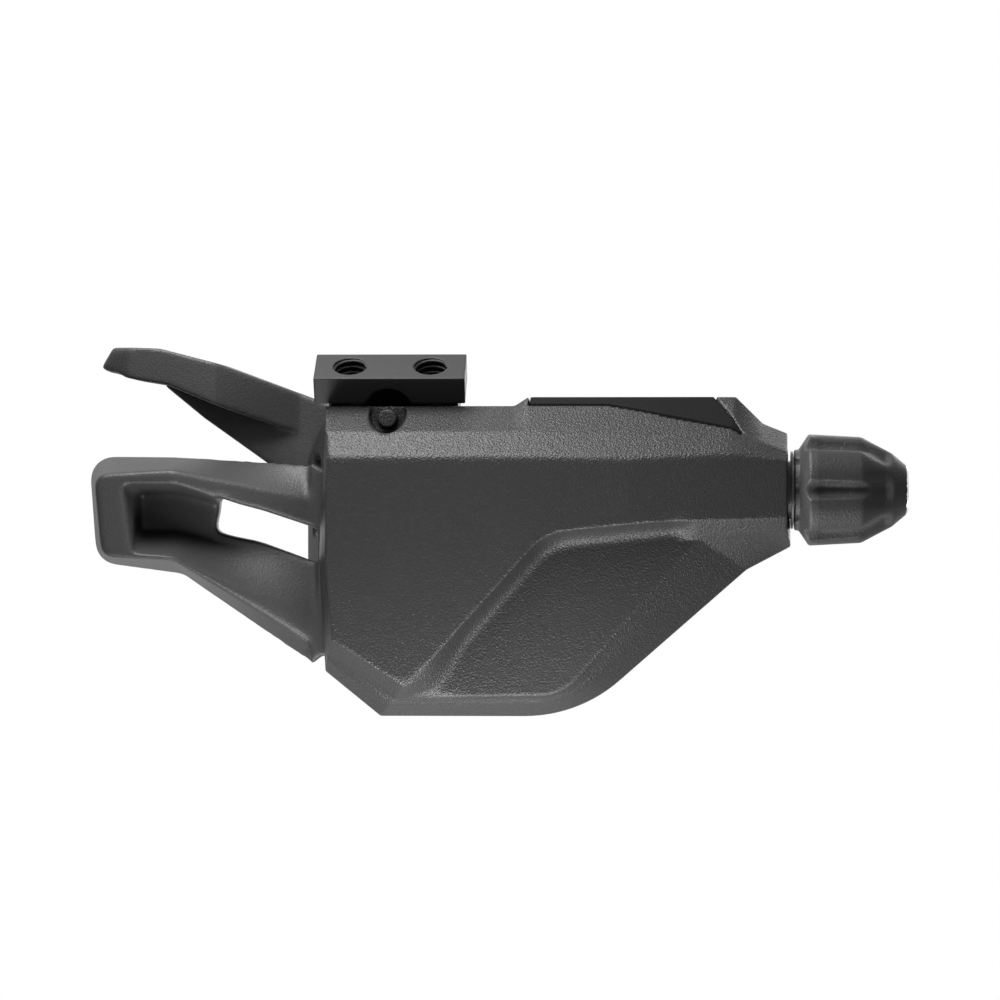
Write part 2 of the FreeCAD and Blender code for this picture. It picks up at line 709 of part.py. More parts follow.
def build_bracket():
    body = new_body("bracket_body")
    face = shape_sketch(body, "block_sketch", LEVEL, "0", [[
        ("-block_width / 2", "-block_depth / 2"),
        ("block_width / 2", "-block_depth / 2"),
        ("block_width / 2", "block_depth / 2"),
        ("-block_width / 2", "block_depth / 2"),
    ]], tilt="face_tilt")
    block = body.newObject("PartDesign::Pad", "block")
    block.Profile = face
    block.setExpression("Length", bound("block_thickness"))
    block.Reversed = True
    neck_front, neck_back = "hole_radius + hole_skin", "hole_radius + hole_skin + neck_thickness"
    pad(body, "foot", SIDE, "-foot_width / 2", "foot_width / 2", [[
        on_block(neck_front, "block_thickness - hole_skin"),
        below_block(neck_front, TOP_Z),
        ("foot_back", TOP_Z),
        ("foot_back", TOP_Z + " + foot_thickness"),
        below_block(neck_back, TOP_Z + " + foot_thickness"),
        on_block(neck_back, "block_thickness * 0.6"),
        on_block("block_depth / 2 - hole_skin / 4", "block_thickness * 0.2"),
    ]])
    for name, across in bracket_screw_places():
        cut(body, name + "_hole", LEVEL, TOP_Z, "0", [(across, FOOT_Y, "bracket_screw_radius + side_gap")])
    holes = shape_sketch(body, "clamp_holes_sketch", LEVEL, "0", [
        ("-hole_spacing / 2", "0", "hole_radius"),
        ("hole_spacing / 2", "0", "hole_radius"),
    ], tilt="face_tilt")
    drill = body.newObject("PartDesign::Pocket", "clamp_holes")
    drill.Profile = holes
    drill.Type = "ThroughAll"
    doc.recompute()
    cut(body, "arch", FRONT, "-block_depth", "parting + side_gap", [
        (DISH_X, TOP_Z + " - arch_drop", "arch_radius")])
    node(body, "mounting_bracket")
    screws = [cap_screw(name + "_bracket_screw", across, FOOT_Y, TOP_Z + " + foot_thickness",
                        "bracket_screw_radius", "foot_thickness + bracket_screw_grip", "up")
              for name, across in bracket_screw_places()]
    return node(joined(screws, "bracket_screw_pair"), "bracket_screws")


def on_block(along, deep):
    """A point of the tilted block's section, as (Y, Z), from its place along the face and its depth."""
    return ("(%s) * cos(face_tilt) + (%s) * sin(face_tilt)" % (along, deep),
            "(%s) * sin(face_tilt) - (%s) * cos(face_tilt)" % (along, deep))


def below_block(along, level):
    """Where the line square to the block's face, at that place along it, reaches a level."""
    deep = "((%s) * sin(face_tilt) - (%s)) / cos(face_tilt)" % (along, level)
    return ("(%s) * cos(face_tilt) + %s * sin(face_tilt)" % (along, deep), level)


def joined(things, name):
    """Several solids kept as one sub-part."""
    doc.recompute()
    group = doc.addObject("Part::Compound", name)
    group.Links = things
    doc.recompute()
    return group


def cap_screw(name, one, two, seat, radius, length, towards):
    """A screw whose head stands on a seat and whose socket opens up (+Z) or back (+Y)."""
    body = new_body(name + "_body")
    role = LEVEL if towards == "up" else FRONT
    pad(body, name + "_shank", role, "%s - (%s)" % (seat, length), seat, [(one, two, radius)])
    pad(body, name + "_head", role, seat, seat + " + screw_head_height", [(one, two, "screw_head_radius")])
    corners = [("%s + socket_key * cos(%d)" % (one, angle), "%s + socket_key * sin(%d)" % (two, angle))
               for angle in range(0, 360, 60)]
    cut(body, name + "_socket", role,
        seat + " + screw_head_height / 4", seat + " + screw_head_height", [corners])
    return body


def ring_body(name, across, up, rings):
    """A turned part along Y, from (front, back, radius, bore) steps; a bore of None is solid."""
    body = new_body(name)
    for i, (low, high, radius, _) in enumerate(rings):
        pad(body, "%s_step%d" % (name, i), FRONT, low, high, [(across, up, radius)])
    for i, (low, high, _, bore) in enumerate(rings):
        if bore is not None:
            cut(body, "%s_bore%d" % (name, i), FRONT, low, high, [(across, up, bore)])
    return body


def build_spool():
    groove_front = SPOOL_FRONT + " + spool_front_rim"
    groove_back = groove_front + " + groove_width"
    body = ring_body("spool_body", AXLE_X, AXLE_Z, [
        (SPOOL_FRONT, groove_front, "spool_radius", None),
        (groove_front, groove_back, "groove_radius", None),
        (groove_back, SPOOL_BACK, "spool_radius", None),
    ])
    cut(body, "spring_room", FRONT, SPOOL_FRONT, SPOOL_FRONT + " + spring_room_depth", [
        (AXLE_X, AXLE_Z, "spring_room_radius")])
    pad(body, "spool_hub", FRONT, SPOOL_FRONT + " + hub_recess", SPOOL_BACK, [
        (AXLE_X, AXLE_Z, "spool_hub_radius")])
    cut(body, "spool_bore", FRONT, SPOOL_FRONT, SPOOL_BACK, [(AXLE_X, AXLE_Z, BUSH_RADIUS)])
    cut(body, "cable_head_pocket", FRONT, SPOOL_FRONT, groove_back, [
        (AXLE_X + " + groove_radius * cos(250)", AXLE_Z + " + groove_radius * sin(250)",
         "cable_head_radius")])
    node(body, "cable_spool")
    bush = ring_body("spool_bush_body", AXLE_X, AXLE_Z, [
        (SPOOL_FRONT + " + hub_recess", RATCHET_BACK, BUSH_RADIUS, "axle_radius + running_gap")])
    node(bush, "spool_bushing")
    return build_ratchet()


def build_ratchet():
    body = new_body("ratchet_body")
    pad(body, "ratchet_disc", FRONT, SPOOL_BACK, RATCHET_BACK, [(AXLE_X, AXLE_Z, "ratchet_radius")])
    cut(body, "ratchet_bore", FRONT, SPOOL_BACK, RATCHET_BACK, [(AXLE_X, AXLE_Z, BUSH_RADIUS)])
    gap = cut(body, "tooth_gap", FRONT, SPOOL_BACK, RATCHET_BACK, [[
        (AXLE_X + " + (ratchet_radius - tooth_height)", AXLE_Z),
        orbit("ratchet_radius + tooth_over", "tooth_lead"),
        orbit("ratchet_radius + tooth_over", "(360 / tooth_count - tooth_tip)"),
    ]])
    teeth = body.newObject("PartDesign::PolarPattern", "teeth")
    teeth.Originals = [gap]
    teeth.Axis = (add_axis(body), [""])
    teeth.Angle = 360
    teeth.setExpression("Occurrences", bound("tooth_count"))
    body.Tip = teeth
    doc.recompute()
    return node(body, "ratchet_wheel")


def add_axis(body):
    """A datum line along Y through the axle's centre."""
    line = body.newObject("PartDesign::Line", body.Name + "_axis")
    line.AttachmentSupport = [(origin_plane(body, FRONT), "")]
    line.MapMode = "ObjectZ"
    line.setExpression(".AttachmentOffset.Base.x", bound(AXLE_X))
    line.setExpression(".AttachmentOffset.Base.y", bound(AXLE_Z))
    return line


def build_axle():
    node(ring_body("axle_body", AXLE_X, AXLE_Z, [
        (AXLE_FRONT, "base_back", "axle_radius", None),
        ("base_back", "base_back + axle_head_height", "axle_head_radius", None),
    ]), "main_axle")
    hub_face = SPOOL_FRONT + " + hub_recess"
    node(ring_body("washer_body", AXLE_X, AXLE_Z, [
        (hub_face + " - side_gap / 2 - washer_thickness", hub_face + " - side_gap / 2",
         "washer_radius", "axle_radius")]), "axle_washer")
    clip_front = AXLE_FRONT + " + side_gap / 2"
    clip = ring_body("clip_body", AXLE_X, AXLE_Z, [
        (clip_front, clip_front + " + clip_thickness", "clip_radius", "axle_radius")])
    cut(clip, "clip_mouth", FRONT, AXLE_FRONT, hub_face, [[
        (AXLE_X + " - axle_radius * 0.7", AXLE_Z),
        (AXLE_X + " + axle_radius * 0.7", AXLE_Z),
        (AXLE_X + " + axle_radius * 0.7", AXLE_Z + " - clip_radius - overrun"),
        (AXLE_X + " - axle_radius * 0.7", AXLE_Z + " - clip_radius - overrun"),
    ]])
    return node(clip, "axle_clip")


def pad_outline(inset, top, low, end_top, end_low, rounding):
    """One outline of the pull lever's thumb pad, seen from the front."""
    tip = "(%s + %s)" % (LEVER_TIP, inset)
    return [
        (tip, CABLE_Z + " + " + top, rounding),
        (PAD_END_X, CABLE_Z + " + " + end_top),
        (PAD_END_X, CABLE_Z + " - " + end_low),
        (tip + " + pad_lean", CABLE_Z + " - " + low, rounding),
    ]


def build_pull_lever():
    body = new_body("pull_lever_body")
    ruled_loft(body, "thumb_pad", "Additive",
               ("pad_back", pad_outline("0", "pad_top", "pad_low", "neck_top", "neck_low", "pad_round")),
               ("-pad_front", pad_outline("rim_inset", "rim_top", "rim_low", "rim_end_top", "rim_end_low",
                                          "pad_round / 2")))
    ruled_loft(body, "arms", "Additive", (PAD_END_X, [
        ("pad_back", CABLE_Z + " + neck_top"),
        ("-pad_front", CABLE_Z + " + rim_end_top"),
        ("-pad_front", CABLE_Z + " - rim_end_low"),
        ("pad_back", CABLE_Z + " - neck_low"),
    ]), (LEFT_X + " - root_clear", [
        (PLATE_BACK, AXLE_Z + " + root_top"),
        (PLATE_FRONT, AXLE_Z + " + root_ridge_top"),
        (PLATE_FRONT, AXLE_Z + " - root_ridge_low"),
        (PLATE_BACK, AXLE_Z + " - root_low"),
    ]), SIDE)
    pad(body, "root_plate", FRONT, PLATE_FRONT, PLATE_BACK, [[
        (LEFT_X + " - root_clear", AXLE_Z + " + root_top"),
        (LEFT_X, AXLE_Z + " + plate_top"),
        (AXLE_X + " - plate_run", AXLE_Z + " + hub_radius"),
        (AXLE_X + " + hub_radius", AXLE_Z + " + hub_radius", "hub_radius - hub_flat"),
        (AXLE_X + " + hub_radius", AXLE_Z + " - hub_radius", "hub_radius - hub_flat"),
        (AXLE_X, AXLE_Z + " - hub_radius"),
        (LEFT_X + " + plate_heel", AXLE_Z + " - plate_low"),
        (LEFT_X, AXLE_Z + " - plate_low"),
        (LEFT_X + " - root_clear", AXLE_Z + " - root_low"),
    ]])
    cut_thumb_pocket(body)
    cut(body, "lever_bore", FRONT, PLATE_FRONT, PLATE_BACK, [(AXLE_X, AXLE_Z, BUSH_RADIUS)])
    cut(body, "pawl_pin_hole", FRONT, PLATE_FRONT, PLATE_BACK, [
        (PULL_PIN_X, PULL_PIN_Z, "pawl_pin_radius + press_gap")])
    node(body, "pull_lever")
    node(ring_body("lever_bush_body", AXLE_X, AXLE_Z, [
        (PLATE_FRONT, PLATE_BACK, BUSH_RADIUS, "axle_radius + running_gap")]), "lever_bushing")
    return node(ring_body("pull_pin_body", PULL_PIN_X, PULL_PIN_Z, [
        (PAWL_FRONT, PLATE_BACK, "pawl_pin_radius", None)]), "pull_pawl_pin")


def cut_thumb_pocket(body):
    """The open frame of the lever: a pocket in the pad, a trough between the arms, and a window through."""
    left, foot = LEVER_TIP + " + rim_width", LEVER_TIP + " + rim_width + rim_lean"
    floor_y = "-pad_front + pocket_depth"
    ruled_loft(body, "thumb_pocket", "Subtractive", ("-pad_front", [
        (left, CABLE_Z + " + pocket_top"),
        (PAD_END_X, CABLE_Z + " + pocket_top"),
        (PAD_END_X, CABLE_Z + " - pocket_low"),
        (foot, CABLE_Z + " - pocket_low + pocket_lean"),
    ]), (floor_y, [
        (foot, CABLE_Z + " - floor_top"),
        (PAD_END_X, CABLE_Z + " - floor_top"),
        (PAD_END_X, CABLE_Z + " - floor_low"),
        (foot, CABLE_Z + " - floor_low"),
    ]))
    ruled_loft(body, "trough", "Subtractive", (PAD_END_X, [
        ("-pad_front", CABLE_Z + " + pocket_top"),
        (floor_y, CABLE_Z + " - floor_top"),
        (floor_y, CABLE_Z + " - floor_low"),
        ("-pad_front", CABLE_Z + " - pocket_low"),
    ]), (WINDOW_END_X, [
        (PLATE_FRONT + " - pocket_lean / 4", AXLE_Z + " + window_root_top + pocket_lean / 4"),
        (floor_y, AXLE_Z + " + window_root_top"),
        (floor_y, AXLE_Z + " + window_root_low"),
        (PLATE_FRONT + " - pocket_lean / 4", AXLE_Z + " - trough_low"),
    ]), SIDE)
    cut(body, "window", FRONT, "-pad_front", "pad_back", [[
        (WINDOW_X, CABLE_Z + " - floor_top - pocket_lean"),
        (WINDOW_END_X, AXLE_Z + " + window_root_top"),
        (WINDOW_END_X, AXLE_Z + " + window_root_low"),
        (WINDOW_X + " + window_lean", CABLE_Z + " - floor_low"),
    ]])


def build_pull_pawl():
    pin_angle, nose_angle = "pull_pin_angle", "(pull_pin_angle + pawl_sweep)"
    body = new_body("pull_pawl_body")
    pad(body, "pull_pawl_arm", FRONT, PAWL_FRONT, PAWL_BACK, [[
        orbit("pull_pin_orbit - pawl_arm_half", pin_angle + " + 2"),
        orbit("ratchet_radius + nose_clearance", nose_angle),
        orbit("ratchet_radius + nose_clearance + nose_height", nose_angle + " - 1"),
        orbit("pull_pin_orbit + pawl_arm_half", pin_angle + " + 3"),
    ]])
    pad(body, "pull_pawl_boss", FRONT, PAWL_FRONT, PAWL_BACK, [(PULL_PIN_X, PULL_PIN_Z, "pawl_boss_radius")])
    cut(body, "pull_pawl_bore", FRONT, PAWL_FRONT, PAWL_BACK, [
        (PULL_PIN_X, PULL_PIN_Z, "pawl_pin_radius + pawl_gap")])
    return node(body, "pull_pawl")


def orbit(radius, angle):
    """A point about the axle, as two expressions."""
    return ("%s + (%s) * cos(%s)" % (AXLE_X, radius, angle), "%s + (%s) * sin(%s)" % (AXLE_Z, radius, angle))


def release_crest(drop):
    """The thumb side of the release lever, from its tip to its root, seen from the front."""
    return [
        (RELEASE_TIP, RELEASE_Z + " + release_tip_rise - (%s) * 0.5" % drop),
        (RELEASE_TIP + " + release_bevel", RELEASE_Z + " + release_rise - (%s)" % drop),
        (RELEASE_TIP + " + release_pad_run / 2",
         RELEASE_Z + " + release_rise - release_bend / 10 - (%s)" % drop),
        (RELEASE_TIP + " + release_pad_run", RELEASE_Z + " + release_rise - release_bend - (%s)" % drop),
        (RELEASE_ROOT_X, RELEASE_Z + " + release_root_rise - (%s)" % drop),
    ]


def release_under():
    """The lower edge of the release lever's walls, from its root back to its tip."""
    return [
        (RELEASE_ROOT_X + " - release_web", RELEASE_Z + " + under_root"),
        (RELEASE_TIP + " + release_pad_run + under_step", RELEASE_Z + " + under_bend"),
        (RELEASE_TIP + " + release_pad_run / 2 + under_step * 2", RELEASE_Z + " + under_middle"),
        (RELEASE_TIP + " + release_bevel * 2", RELEASE_Z + " + under_tip"),
    ]


def release_arm_outline():
    """The flat arm, from the middle of the thumb pad's hollow to its hub."""
    return [
        (RELEASE_TIP + " + release_pad_run / 2", RELEASE_Z + " + release_rise - release_wall"),
        (RELEASE_TIP + " + release_pad_run", RELEASE_Z + " + release_rise - release_bend - release_wall / 2"),
        (RELEASE_ROOT_X, RELEASE_Z + " + release_root_rise"),
        (RELEASE_X + " + release_hub_radius", RELEASE_Z + " + release_hub_radius",
         "release_hub_radius - hub_flat"),
        (RELEASE_X + " + release_hub_radius", RELEASE_Z + " - release_hub_radius",
         "release_hub_radius - hub_flat"),
        (RELEASE_X + " - release_hub_radius * 2", RELEASE_Z + " - release_hub_radius"),
        (RELEASE_X + " - release_hub_radius * 3.3", RELEASE_Z + " - arm_low"),
        (RELEASE_TIP + " + release_pad_run - release_web", RELEASE_Z + " + arm_bend"),
        (RELEASE_TIP + " + release_pad_run / 2", RELEASE_Z + " + under_middle"),
    ]


def sweep_profile(depth, root, beyond):
    """What a sweep takes off one side of the thumb pad, seen from above."""
    start = RELEASE_TIP + " + release_pad_run - release_sweep"
    return [
        (start, depth),
        (RELEASE_X + " - release_hub_radius * 2.2", root),
        (RELEASE_X, root),
        (RELEASE_X, beyond),
        (start, beyond),
    ]


def build_release_lever():
    pad_body = new_body("release_pad_body")
    hollow_body = new_body("release_hollow_body")
    front, back = "release_pad_front", "release_pad_back"
    root_front, root_back = "base_back + release_gap", RELEASE_BACK
    pad(pad_body, "thumb_block", FRONT, front, back, [release_crest("0") + release_under()])
    cut(pad_body, "tip_facet", LEVEL, BOTTOM_Z, "release_rise", [[
        (RELEASE_TIP, front),
        (RELEASE_TIP + " + facet_run", front),
        (RELEASE_TIP, front + " + facet_depth"),
    ]])
    pad(hollow_body, "thumb_hollow", FRONT, front + " + release_wall", back + " - release_wall", [
        release_crest("release_wall + side_gap")[1:] + [
            (RELEASE_ROOT_X + " - release_web", RELEASE_Z + " - release_hub_radius"),
            (RELEASE_TIP + " + release_bevel * 2", RELEASE_Z),
        ]])
    for name, body, skin in (("outer", pad_body, "0"), ("inner", hollow_body, "release_wall")):
        cut(body, name + "_front_sweep", LEVEL, BOTTOM_Z, "release_rise", [sweep_profile(
            "%s + %s" % (front, skin), "%s + %s" % (root_front, skin), front + " - overrun")])
        cut(body, name + "_back_sweep", LEVEL, BOTTOM_Z, "release_rise", [sweep_profile(
            "%s - %s" % (back, skin), "%s - %s" % (root_back, skin), back + " + overrun")])
    shell = trimmed("Cut", "release_shell", pad_body, hollow_body)
    arm = new_body("release_arm_body")
    pad(arm, "release_arm", FRONT, root_front, root_back, [release_arm_outline()])
    cut(arm, "release_key_hole", FRONT, "base_back", root_back, [key_outline("press_gap")])
    lever = doc.addObject("Part::MultiFuse", "release_lever_whole")
    lever.Shapes = [shell, arm]
    doc.recompute()
    node(lever, "release_lever")
    shaft = ring_body("release_shaft_body", RELEASE_X, RELEASE_Z, [
        (PAWL_FRONT, "base_back + release_gap / 2", "release_shaft_radius", None)])
    pad(shaft, "release_key_end", FRONT, "base_back + release_gap / 2", RELEASE_BACK, [key_outline("0")])
    cut(shaft, "release_screw_hole", FRONT, RELEASE_BACK + " - cover_screw_grip - overrun", RELEASE_BACK, [
        (RELEASE_X, RELEASE_Z, "cover_screw_radius - press_gap")])
    node(shaft, "release_shaft")
    node(cap_screw("release_screw", RELEASE_X, RELEASE_Z, RELEASE_BACK, "cover_screw_radius",
                   "cover_screw_grip + overrun / 2", "back"), "release_lever_screw")
    return build_release_cam()


def key_outline(room):
    """The squared end that turns the release shaft with its lever."""
    half = "(release_key / 2 + %s)" % room
    return [("%s %s %s" % (RELEASE_X, one, half), "%s %s %s" % (RELEASE_Z, two, half))
            for one, two in (("-", "-"), ("+", "-"), ("+", "+"), ("-", "+"))]


def build_release_cam():
    """The finger on the release shaft that lifts the hold pawl."""
    body = new_body("cam_body")
    pad(body, "cam_finger", FRONT, PAWL_FRONT, PAWL_BACK, [[
        (RELEASE_X, RELEASE_Z),
        (RELEASE_X + " + cam_length", RELEASE_Z + " - cam_drop"),
        (RELEASE_X + " + cam_length", RELEASE_Z + " - cam_drop - cam_tip"),
        (RELEASE_X, RELEASE_Z + " - release_shaft_radius"),
    ]])
    pad(body, "cam_hub", FRONT, PAWL_FRONT, PAWL_BACK, [
        (RELEASE_X, RELEASE_Z, "release_shaft_radius + cam_wall")])
    cut(body, "cam_seat", FRONT, PAWL_FRONT, PAWL_BACK, [(RELEASE_X, RELEASE_Z, "release_shaft_radius")])
    return node(body, "release_cam")


def build_hold_pawl():
    body = new_body("hold_pawl_body")
    pad(body, "hold_pawl_arm", FRONT, PAWL_FRONT, PAWL_BACK, [[
        (HOLD_X + " + nose_height", HOLD_Z + " - nose_height"),
        orbit("ratchet_radius + nose_clearance", "hold_nose_angle"),
        orbit("ratchet_radius + nose_clearance + nose_height", "hold_nose_angle + 7"),
        (HOLD_X + " - lug_reach / 2", HOLD_Z + " - lug_drop"),
        (HOLD_X + " - lug_reach", HOLD_Z + " - lug_drop"),
        (HOLD_X + " - lug_reach", HOLD_Z + " - lug_drop + pawl_thickness"),
        (HOLD_X + " - pawl_boss_radius", HOLD_Z),
    ]])
    pad(body, "hold_pawl_boss", FRONT, PAWL_FRONT, PAWL_BACK, [(HOLD_X, HOLD_Z, "pawl_boss_radius")])
    cut(body, "hold_pawl_bore", FRONT, PAWL_FRONT, PAWL_BACK, [
        (HOLD_X, HOLD_Z, "pawl_pin_radius + pawl_gap")])
    node(body, "hold_pawl")
    return node(ring_body("hold_pin_body", HOLD_X, HOLD_Z, [
        (PAWL_FRONT, HOLD_PIN_BACK, "pawl_pin_radius", None)]), "hold_pawl_pin")


def turned_along_x(name, steps, bores):
    """A turned part on the cable's line, from (start, end, radius) steps and bores along X."""
    body = new_body(name)
    for i, (low, high, radius) in enumerate(steps):
        pad(body, "%s_step%d" % (name, i), SIDE, low, high, [("cable_depth", CABLE_Z, radius)])
    for i, (low, high, radius) in enumerate(bores):
        cut(body, "%s_bore%d" % (name, i), SIDE, low, high, [("cable_depth", CABLE_Z, radius)])
    return body


def build_adjuster():
    insert_from = RIGHT_X + " - insert_length"
    node(turned_along_x("insert_body", [(insert_from, RIGHT_X, "stem_radius + running_gap + insert_wall")],
                        [(insert_from, RIGHT_X, "stem_radius + running_gap")]), "adjuster_insert")
    node(turned_along_x("stem_body", [(RIGHT_X + " - stem_insertion", STEM_END, "stem_radius")],
                        [(KNOB_END + " - socket_depth", STEM_END, "socket_radius"),
                         (RIGHT_X + " - stem_insertion", KNOB_END + " - socket_depth", "cable_bore")]),
         "adjuster_stem")
    node(turned_along_x("detent_body", [(RIGHT_X, RIGHT_X + " + detent_thickness", "knob_neck - detent_thickness")],
                        [(RIGHT_X, RIGHT_X + " + detent_thickness", "stem_radius + side_gap")]),
         "adjuster_detent_spring")
    return build_knob()


def build_knob():
    """The grip is revolved, then its flutes and detent notches are cut round it."""
    body = new_body("knob_body")
    sketch = shape_sketch(body, "knob_profile", LEVEL, CABLE_Z, [[
        (KNOB_START, "cable_depth + stem_radius + running_gap"),
        (KNOB_START, "cable_depth + knob_neck"),
        (KNOB_START + " + collar_length", "cable_depth + knob_neck"),
        (KNOB_START + " + collar_length * 3", "cable_depth + knob_radius"),
        (KNOB_END + " - nose_run * 3", "cable_depth + knob_radius - grip_fall"),
        (KNOB_END + " - nose_run", "cable_depth + knob_nose"),
        (KNOB_END, "cable_depth + stem_radius + running_gap + nose_rim"),
        (KNOB_END, "cable_depth + stem_radius + running_gap"),
    ]])
    turn = body.newObject("PartDesign::Revolution", "knob_turned")
    turn.Profile = sketch
    line = body.newObject("PartDesign::Line", "knob_axis")
    line.AttachmentSupport = [(origin_plane(body, SIDE), "")]
    line.MapMode = "ObjectZ"
    line.setExpression(".AttachmentOffset.Base.x", bound("cable_depth"))
    line.setExpression(".AttachmentOffset.Base.y", bound(CABLE_Z))
    doc.recompute()
    turn.ReferenceAxis = (line, [""])
    turn.Angle = 360
    doc.recompute()
    flute = cut(body, "flute", SIDE, KNOB_START + " + collar_length * 2", KNOB_END + " - nose_run * 0.75", [
        ("cable_depth - knob_radius - flute_rise", CABLE_Z, "flute_radius")])
    notch = cut(body, "detent_notch", SIDE, KNOB_START, KNOB_START + " + collar_length * 0.75", [
        ("cable_depth - knob_neck", CABLE_Z, "notch_radius")])
    for name, feature, count in (("flutes", flute, "flute_count"), ("detent_notches", notch, "notch_count")):
        ring = body.newObject("PartDesign::PolarPattern", name)
        ring.Originals = [feature]
        ring.Axis = (line, [""])
        ring.Angle = 360
        ring.setExpression("Occurrences", bound(count))
        body.Tip = ring
        doc.recompute()
    return node(body, "adjuster_knob")


def build_hatch():
    """The cable port's cover is the part of the housing's own shoulder that fills its seat."""
    body = new_body("hatch_body")
    pad(body, "hatch_block", FRONT, "-rim_depth", "base_back", [parting_outline()])
    ruled_loft(body, "hatch_bevel", "Additive", ("-rim_depth", parting_outline()), (PANEL_Y, panel_outline()))
    return node(trimmed("MultiCommon", "hatch_in_seat", body, hatch_room("hatch_fit", "hatch_gap")),
                "cable_port_cover")


def build_springs():
    """Return springs, shown as sleeves, and the screws that stay with the housing."""
    screws = [cap_screw(name + "_cover_screw", across, up, SCREW_SEAT, "cover_screw_radius",
                        "screw_shelf + cover_screw_grip - overrun / 2", "back")
              for name, across, up in cover_screw_places()]
    node(joined(screws, "cover_screw_set"), "cover_screws")
    coil("spool_return_spring", AXLE_X, AXLE_Z, SPOOL_FRONT + " + hub_recess + side_gap / 2",
         "spring_room_depth - hub_recess - side_gap * 2",
         "spool_hub_radius + fine_wire", "spring_room_radius - side_gap * 2")
    coil("lever_return_spring", AXLE_X, AXLE_Z, PLATE_BACK + " + side_gap * 1.5", "spring_wire * 2",
         "axle_radius + spring_wire", "hub_radius - spring_wire")
    coil("release_return_spring", RELEASE_X, RELEASE_Z, SLOT_BACK + " + side_gap", "fine_wire * 3",
         "release_shaft_radius + side_gap * 0.75", "room_half - side_gap * 1.25")


def coil(label, across, up, front, height, inner, outer):
    """A closed coil shown as its sleeve."""
    return node(ring_body(label + "_body", across, up, [
        (front, "%s + %s" % (front, height), outer, inner)]), label)


def export():
    """Checks every object and each sub-part, then writes the parts."""
    for thing in doc.Objects:
        if any(word in ("Invalid", "Error") for word in thing.State):
            raise RuntimeError("%s is %s" % (thing.Name, thing.State))
    os.makedirs("parts", exist_ok=True)
    for thing in NODES:
        if thing.Shape.isNull() or not thing.Shape.isValid() or not thing.Shape.Solids:
            raise RuntimeError("%s has no valid solid" % thing.Label)
        thing.Shape.exportStep("parts/%s.step" % thing.Label)
        box = thing.Shape.BoundBox
        print("%-24s %8.1f mm3  x %6.2f %6.2f  y %6.2f %6.2f  z %6.2f %6.2f  solids %d" % (
            thing.Label, thing.Shape.Volume, box.XMin, box.XMax, box.YMin, box.YMax, box.ZMin, box.ZMax,
            len(thing.Shape.Solids)))


main()
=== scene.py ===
import json
import math

import bmesh
import bpy
from mathutils import Matrix, Vector


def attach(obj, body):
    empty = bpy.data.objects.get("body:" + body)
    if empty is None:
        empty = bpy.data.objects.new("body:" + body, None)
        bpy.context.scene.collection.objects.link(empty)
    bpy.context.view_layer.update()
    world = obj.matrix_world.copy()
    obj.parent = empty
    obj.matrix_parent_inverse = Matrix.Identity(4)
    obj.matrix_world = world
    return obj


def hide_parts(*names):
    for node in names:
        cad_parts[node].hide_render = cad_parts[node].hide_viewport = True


# Looks of the trigger shifter: rounded moulded skins over the CAD pieces, and node-based finishes.
# Places and spans are in mm in the part's frame, unless a name ends in _M.
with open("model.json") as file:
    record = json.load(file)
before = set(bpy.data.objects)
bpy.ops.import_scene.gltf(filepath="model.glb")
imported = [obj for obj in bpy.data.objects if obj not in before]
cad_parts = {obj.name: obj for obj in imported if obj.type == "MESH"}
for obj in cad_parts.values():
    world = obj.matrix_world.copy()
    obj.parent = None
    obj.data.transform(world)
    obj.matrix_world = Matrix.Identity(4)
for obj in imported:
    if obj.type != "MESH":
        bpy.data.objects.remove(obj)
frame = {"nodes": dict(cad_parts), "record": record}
NODES = frame["nodes"]
BODY_OF = {node: body for body, nodes in frame["record"]["behaviour"]["bodies"].items() for node in nodes}
SLOT_OF = {subpart["node"]: subpart["material_slot"] for subpart in frame["record"]["subparts"]}
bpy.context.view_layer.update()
MM = 0.001


# Materials

PEBBLE_SMOOTHNESS, PEBBLE_DEPTH_M = 0.6, 0.00006
GRAIN_SCALE, GRAIN_STRENGTH, GRAIN_DEPTH_M = 0.7, 0.8, 0.00008     # scale and strength against the pebbles
TOOTH_SCALE, TOOTH_STRENGTH, TOOTH_DEPTH_M = 9000, 0.15, 0.00002
CLOUD_SCALE, CLOUD_ROUGHNESS = 90, 0.06
MOTTLE_DARK, MOTTLE_LIGHT, MOTTLE_SPAN = 0.9, 1.12, (0.3, 0.7)
MARK_SCALE, MARK_STRENGTH, MARK_DEPTH_M, MARK_ROUGHNESS = 2600, 0.12, 0.00001, 0.07
TARNISH_SCALE, TARNISH_DARK = 160, 0.88
SPLIT_BLUR = 0.05


def new_material(name):
    material = bpy.data.materials.new(name)
    material.use_nodes = True
    tree = material.node_tree
    tree.nodes.clear()
    out = tree.nodes.new("ShaderNodeOutputMaterial")
    shader = tree.nodes.new("ShaderNodeBsdfPrincipled")
    tree.links.new(shader.outputs["BSDF"], out.inputs["Surface"])
    return material, tree, shader


def add(tree, kind, **values):
    """A node with its plain inputs set; an underscore stands for a space in an input's name."""
    made = tree.nodes.new(kind)
    for key, number in values.items():
        made.inputs[key.replace("_", " ")].default_value = number
    return made


def noise(tree, coords, scale, detail=3.0, rough=0.55):
    made = add(tree, "ShaderNodeTexNoise", Scale=scale, Detail=detail, Roughness=rough)
    tree.links.new(coords, made.inputs["Vector"])
    return made.outputs["Fac"]


def pebbles(tree, coords, size):
    made = add(tree, "ShaderNodeTexVoronoi", Scale=1 / (size * MM))
    made.feature = "SMOOTH_F1"
    made.inputs["Smoothness"].default_value = PEBBLE_SMOOTHNESS
    tree.links.new(coords, made.inputs["Vector"])
    return made.outputs["Distance"]


